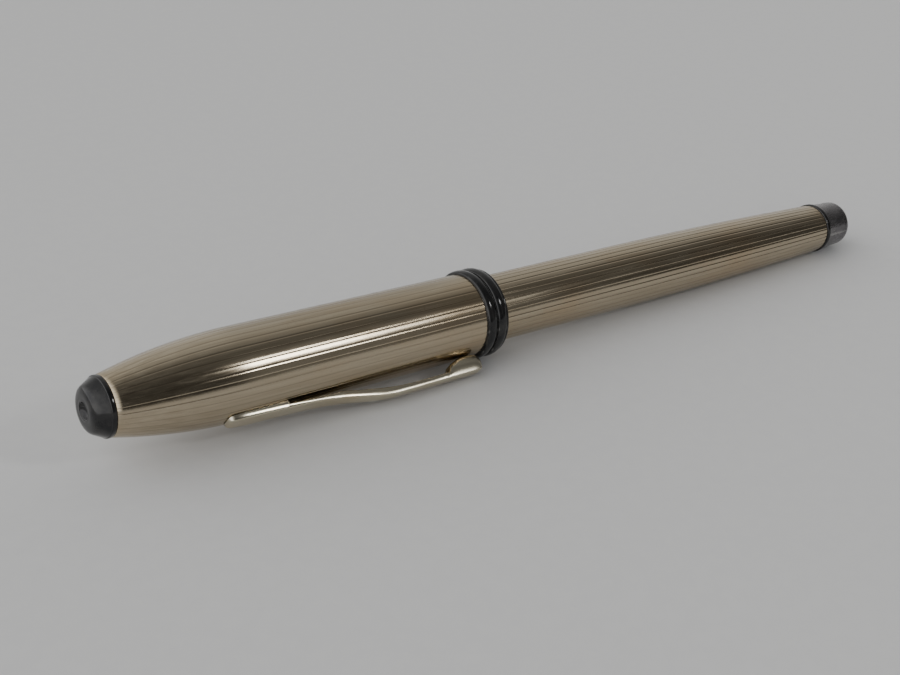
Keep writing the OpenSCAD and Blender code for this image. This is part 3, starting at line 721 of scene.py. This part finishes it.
def world():
    """A room with pale walls behind the pen and a dim ceiling, lit from past the cap's end."""
    scene_world = bpy.data.worlds.new("room")
    bpy.context.scene.world = scene_world
    scene_world.use_nodes = True
    tree = scene_world.node_tree

    def node(kind, **settings):
        made = tree.nodes.new(kind)
        for key, value in settings.items():
            setattr(made, key, value)
        return made

    def ramp(factor, stops):
        """A grey value from a factor of 0 to 1, given as (factor, value) stops."""
        made = node("ShaderNodeValToRGB")
        tree.links.new(factor, made.inputs["Fac"])
        elements = made.color_ramp.elements
        while len(elements) < len(stops):
            elements.new(0.5)
        for element, (position, value) in zip(elements, stops):
            element.position = position
            element.color = (value, value, 0.985 * value, 1)
        return made.outputs["Color"]

    def span(value, low, high, smooth=False):
        """A value from low to high, brought to 0 to 1."""
        made = node("ShaderNodeMapRange", interpolation_type="SMOOTHSTEP" if smooth else "LINEAR")
        made.inputs["From Min"].default_value, made.inputs["From Max"].default_value = low, high
        tree.links.new(value, made.inputs["Value"])
        return made.outputs["Result"]

    def mix(factor, a, b):
        made = node("ShaderNodeMix", data_type="RGBA")
        tree.links.new(factor, made.inputs["Factor"])
        for socket, colour in zip([x for x in made.inputs if x.type == "RGBA"], (a, b)):
            if isinstance(colour, tuple):
                socket.default_value = colour
            else:
                tree.links.new(colour, socket)
        return [x for x in made.outputs if x.type == "RGBA"][0]

    parts = node("ShaderNodeSeparateXYZ")
    tree.links.new(node("ShaderNodeTexCoord").outputs["Generated"], parts.inputs[0])
    front = node("ShaderNodeMath", operation="MULTIPLY")
    front.inputs[1].default_value = -1.0
    tree.links.new(parts.outputs["Y"], front.inputs[0])
    angle = node("ShaderNodeMath", operation="ARCTAN2")
    tree.links.new(parts.outputs["Z"], angle.inputs[0])
    tree.links.new(front.outputs[0], angle.inputs[1])
    elevation = span(angle.outputs[0], 0, math.pi)
    # Degrees over the front wall's foot, and how bright the room is there: beside the pen, then elsewhere
    beside = (
        (0, 0.24), (34, 0.22), (50, 0.15), (60, 0.13), (85, 0.16), (98, 0.30), (108, 0.41), (125, 0.49),
        (180, 0.53))
    elsewhere = (
        (0, 0.08), (34, 0.07), (50, 0.07), (60, 0.11), (85, 0.17), (98, 0.30), (108, 0.41), (125, 0.58),
        (180, 0.75))
    walls = [ramp(elevation, [(degrees / 180, value) for degrees, value in side])
             for side in (beside, elsewhere)]
    away = ramp(parts.outputs["X"], ((0.40, 1), (0.46, 0), (0.55, 0), (0.66, 1)))
    room = mix(away, *walls)
    room = mix(span(parts.outputs["X"], -0.1, -0.75, smooth=True), room, (PAST_CAP, PAST_CAP, PAST_CAP, 1))
    background = tree.nodes["Background"]
    tree.links.new(room, background.inputs["Color"])
    background.inputs["Strength"].default_value = 1.0


world()


def soft_light(name, direction, distance, width, height, power, aim=(0, 0, 0)):
    """A soft rectangular light in a direction from the aim point, facing it."""
    data = bpy.data.lights.new(name, "AREA")
    data.shape, data.size, data.size_y, data.energy = "RECTANGLE", width, height, power
    light = bpy.data.objects.new(name, data)
    light.location = Vector(aim) + Vector(direction).normalized() * distance
    light.rotation_euler = (light.location - Vector(aim)).to_track_quat("Z", "Y").to_euler()
    bpy.context.scene.collection.objects.link(light)


soft_light("window", (0.47, -0.656, 0.591), 1.5, 0.19, 0.24, 2.4, aim=(-0.03, 0, 0.007))

camera_data = bpy.data.cameras.new("camera")
camera_data.lens = 58.8
camera_data.sensor_width = 36.0
camera_data.clip_start = 0.005
camera = bpy.data.objects.new("camera", camera_data)
camera.location = (-0.14335, -0.15414, 0.10286)
camera.rotation_euler = [math.radians(turn) for turn in (63.6165, -4.9633, -37.2115)]
bpy.context.scene.collection.objects.link(camera)
bpy.context.scene.camera = camera
